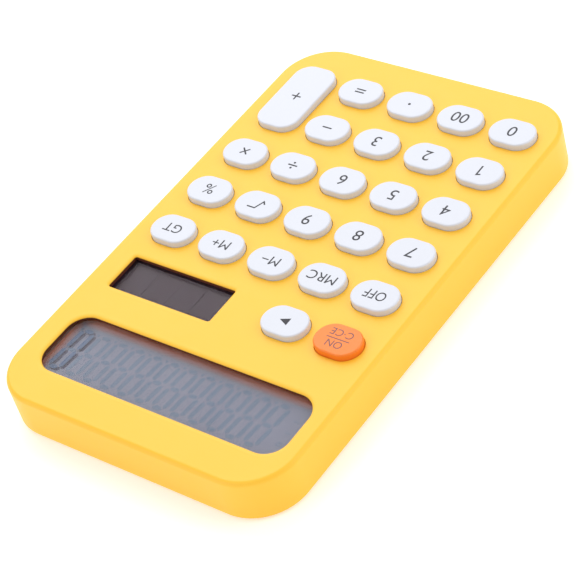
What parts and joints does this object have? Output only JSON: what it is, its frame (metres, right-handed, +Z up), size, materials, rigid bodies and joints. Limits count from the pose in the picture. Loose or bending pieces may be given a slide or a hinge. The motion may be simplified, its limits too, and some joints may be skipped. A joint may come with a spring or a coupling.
{
  "type": "desk calculator",
  "caption": "Flat rounded desk calculator with a wide display, a solar window and a grid of domed push keys that travel straight down.",
  "frame": {"origin": "on the table, under the middle of the case", "axes": "+Z up, +Y towards the display end, +X to the user's right"},
  "size_m": [0.0988, 0.1604, 0.0168],
  "materials": {
    "yellow_shell": "satin moulded ABS",
    "key_white": "satin moulded ABS",
    "key_orange": "satin moulded ABS",
    "silicone": "translucent silicone",
    "clear_window": "clear acrylic",
    "gasket": "dark adhesive foam gasket",
    "polariser": "polarising film",
    "cell_glass": "thin float glass",
    "reflector": "satin reflector film",
    "inner_plastic": "brown moulded plastic",
    "elastomer": "layered elastomer strip",
    "solar_glass": "thin float glass",
    "silicon": "amorphous silicon film",
    "foam": "open foam",
    "copper": "tinned copper",
    "board": "phenolic board",
    "resin": "black epoxy",
    "ceramic": "ceramic chip",
    "cell_steel": "nickel-plated steel",
    "spring_steel": "nickel-plated spring steel",
    "screw_steel": "zinc-plated steel",
    "foot_rubber": "matte rubber"
  },
  "bodies": {
    "case": {"top_case": "yellow_shell", "bottom_cover": "yellow_shell", "battery_door": "yellow_shell", "silicone_keypad": "silicone", "display_window": "clear_window", "window_gasket": "gasket", "solar_gasket": "gasket", "front_polariser": "polariser", "front_glass": "cell_glass", "rear_glass": "cell_glass", "rear_reflector": "reflector", "display_holder": "inner_plastic", "display_connector": "elastomer", "solar_glass": "solar_glass", "solar_cells": "silicon", "solar_cushion": "foam", "solar_leads": "copper", "main_board": "board", "chip_resin": "resin", "board_components": "ceramic", "button_cell": "cell_steel", "battery_contact_minus": "spring_steel", "battery_contact_plus": "spring_steel", "battery_door_screw": "screw_steel", "case_screws": "screw_steel", "board_screws": "screw_steel", "rubber_feet": "foot_rubber"},
    "key_on_clear": {"key_on_clear": "key_orange"},
    "key_erase_last": {"key_erase_last": "key_white"},
    "key_off": {"key_off": "key_white"},
    "key_memory_recall": {"key_memory_recall": "key_white"},
    "key_memory_minus": {"key_memory_minus": "key_white"},
    "key_memory_plus": {"key_memory_plus": "key_white"},
    "key_grand_total": {"key_grand_total": "key_white"},
    "key_7": {"key_7": "key_white"},
    "key_8": {"key_8": "key_white"},
    "key_9": {"key_9": "key_white"},
    "key_root": {"key_root": "key_white"},
    "key_percent": {"key_percent": "key_white"},
    "key_4": {"key_4": "key_white"},
    "key_5": {"key_5": "key_white"},
    "key_6": {"key_6": "key_white"},
    "key_divide": {"key_divide": "key_white"},
    "key_multiply": {"key_multiply": "key_white"},
    "key_1": {"key_1": "key_white"},
    "key_2": {"key_2": "key_white"},
    "key_3": {"key_3": "key_white"},
    "key_minus": {"key_minus": "key_white"},
    "key_0": {"key_0": "key_white"},
    "key_00": {"key_00": "key_white"},
    "key_point": {"key_point": "key_white"},
    "key_equals": {"key_equals": "key_white"},
    "key_plus": {"key_plus": "key_white"}
  },
  "joints": [
    {"name": "key_on_clear_press", "type": "slide", "parent": "case", "child": "key_on_clear", "axis": [0, 0, -1], "range_m": [0, 0.0012], "stiffness_N_per_m": 300, "springref_m": -0.0015, "deforming": ["silicone_keypad"]},
    {"name": "key_erase_last_press", "type": "slide", "parent": "case", "child": "key_erase_last", "axis": [0, 0, -1], "range_m": [0, 0.0012], "stiffness_N_per_m": 300, "springref_m": -0.0015, "deforming": ["silicone_keypad"]},
    {"name": "key_off_press", "type": "slide", "parent": "case", "child": "key_off", "axis": [0, 0, -1], "range_m": [0, 0.0012], "stiffness_N_per_m": 300, "springref_m": -0.0015, "deforming": ["silicone_keypad"]},
    {"name": "key_memory_recall_press", "type": "slide", "parent": "case", "child": "key_memory_recall", "axis": [0, 0, -1], "range_m": [0, 0.0012], "stiffness_N_per_m": 300, "springref_m": -0.0015, "deforming": ["silicone_keypad"]},
    {"name": "key_memory_minus_press", "type": "slide", "parent": "case", "child": "key_memory_minus", "axis": [0, 0, -1], "range_m": [0, 0.0012], "stiffness_N_per_m": 300, "springref_m": -0.0015, "deforming": ["silicone_keypad"]},
    {"name": "key_memory_plus_press", "type": "slide", "parent": "case", "child": "key_memory_plus", "axis": [0, 0, -1], "range_m": [0, 0.0012], "stiffness_N_per_m": 300, "springref_m": -0.0015, "deforming": ["silicone_keypad"]},
    {"name": "key_grand_total_press", "type": "slide", "parent": "case", "child": "key_grand_total", "axis": [0, 0, -1], "range_m": [0, 0.0012], "stiffness_N_per_m": 300, "springref_m": -0.0015, "deforming": ["silicone_keypad"]},
    {"name": "key_7_press", "type": "slide", "parent": "case", "child": "key_7", "axis": [0, 0, -1], "range_m": [0, 0.0012], "stiffness_N_per_m": 300, "springref_m": -0.0015, "deforming": ["silicone_keypad"]},
    {"name": "key_8_press", "type": "slide", "parent": "case", "child": "key_8", "axis": [0, 0, -1], "range_m": [0, 0.0012], "stiffness_N_per_m": 300, "springref_m": -0.0015, "deforming": ["silicone_keypad"]},
    {"name": "key_9_press", "type": "slide", "parent": "case", "child": "key_9", "axis": [0, 0, -1], "range_m": [0, 0.0012], "stiffness_N_per_m": 300, "springref_m": -0.0015, "deforming": ["silicone_keypad"]},
    {"name": "key_root_press", "type": "slide", "parent": "case", "child": "key_root", "axis": [0, 0, -1], "range_m": [0, 0.0012], "stiffness_N_per_m": 300, "springref_m": -0.0015, "deforming": ["silicone_keypad"]},
    {"name": "key_percent_press", "type": "slide", "parent": "case", "child": "key_percent", "axis": [0, 0, -1], "range_m": [0, 0.0012], "stiffness_N_per_m": 300, "springref_m": -0.0015, "deforming": ["silicone_keypad"]},
    {"name": "key_4_press", "type": "slide", "parent": "case", "child": "key_4", "axis": [0, 0, -1], "range_m": [0, 0.0012], "stiffness_N_per_m": 300, "springref_m": -0.0015, "deforming": ["silicone_keypad"]},
    {"name": "key_5_press", "type": "slide", "parent": "case", "child": "key_5", "axis": [0, 0, -1], "range_m": [0, 0.0012], "stiffness_N_per_m": 300, "springref_m": -0.0015, "deforming": ["silicone_keypad"]},
    {"name": "key_6_press", "type": "slide", "parent": "case", "child": "key_6", "axis": [0, 0, -1], "range_m": [0, 0.0012], "stiffness_N_per_m": 300, "springref_m": -0.0015, "deforming": ["silicone_keypad"]},
    {"name": "key_divide_press", "type": "slide", "parent": "case", "child": "key_divide", "axis": [0, 0, -1], "range_m": [0, 0.0012], "stiffness_N_per_m": 300, "springref_m": -0.0015, "deforming": ["silicone_keypad"]},
    {"name": "key_multiply_press", "type": "slide", "parent": "case", "child": "key_multiply", "axis": [0, 0, -1], "range_m": [0, 0.0012], "stiffness_N_per_m": 300, "springref_m": -0.0015, "deforming": ["silicone_keypad"]},
    {"name": "key_1_press", "type": "slide", "parent": "case", "child": "key_1", "axis": [0, 0, -1], "range_m": [0, 0.0012], "stiffness_N_per_m": 300, "springref_m": -0.0015, "deforming": ["silicone_keypad"]},
    {"name": "key_2_press", "type": "slide", "parent": "case", "child": "key_2", "axis": [0, 0, -1], "range_m": [0, 0.0012], "stiffness_N_per_m": 300, "springref_m": -0.0015, "deforming": ["silicone_keypad"]},
    {"name": "key_3_press", "type": "slide", "parent": "case", "child": "key_3", "axis": [0, 0, -1], "range_m": [0, 0.0012], "stiffness_N_per_m": 300, "springref_m": -0.0015, "deforming": ["silicone_keypad"]},
    {"name": "key_minus_press", "type": "slide", "parent": "case", "child": "key_minus", "axis": [0, 0, -1], "range_m": [0, 0.0012], "stiffness_N_per_m": 300, "springref_m": -0.0015, "deforming": ["silicone_keypad"]},
    {"name": "key_0_press", "type": "slide", "parent": "case", "child": "key_0", "axis": [0, 0, -1], "range_m": [0, 0.0012], "stiffness_N_per_m": 300, "springref_m": -0.0015, "deforming": ["silicone_keypad"]},
    {"name": "key_00_press", "type": "slide", "parent": "case", "child": "key_00", "axis": [0, 0, -1], "range_m": [0, 0.0012], "stiffness_N_per_m": 300, "springref_m": -0.0015, "deforming": ["silicone_keypad"]},
    {"name": "key_point_press", "type": "slide", "parent": "case", "child": "key_point", "axis": [0, 0, -1], "range_m": [0, 0.0012], "stiffness_N_per_m": 300, "springref_m": -0.0015, "deforming": ["silicone_keypad"]},
    {"name": "key_equals_press", "type": "slide", "parent": "case", "child": "key_equals", "axis": [0, 0, -1], "range_m": [0, 0.0012], "stiffness_N_per_m": 300, "springref_m": -0.0015, "deforming": ["silicone_keypad"]},
    {"name": "key_plus_press", "type": "slide", "parent": "case", "child": "key_plus", "axis": [0, 0, -1], "range_m": [0, 0.0012], "stiffness_N_per_m": 400, "springref_m": -0.0015, "deforming": ["silicone_keypad"]}
  ]
}
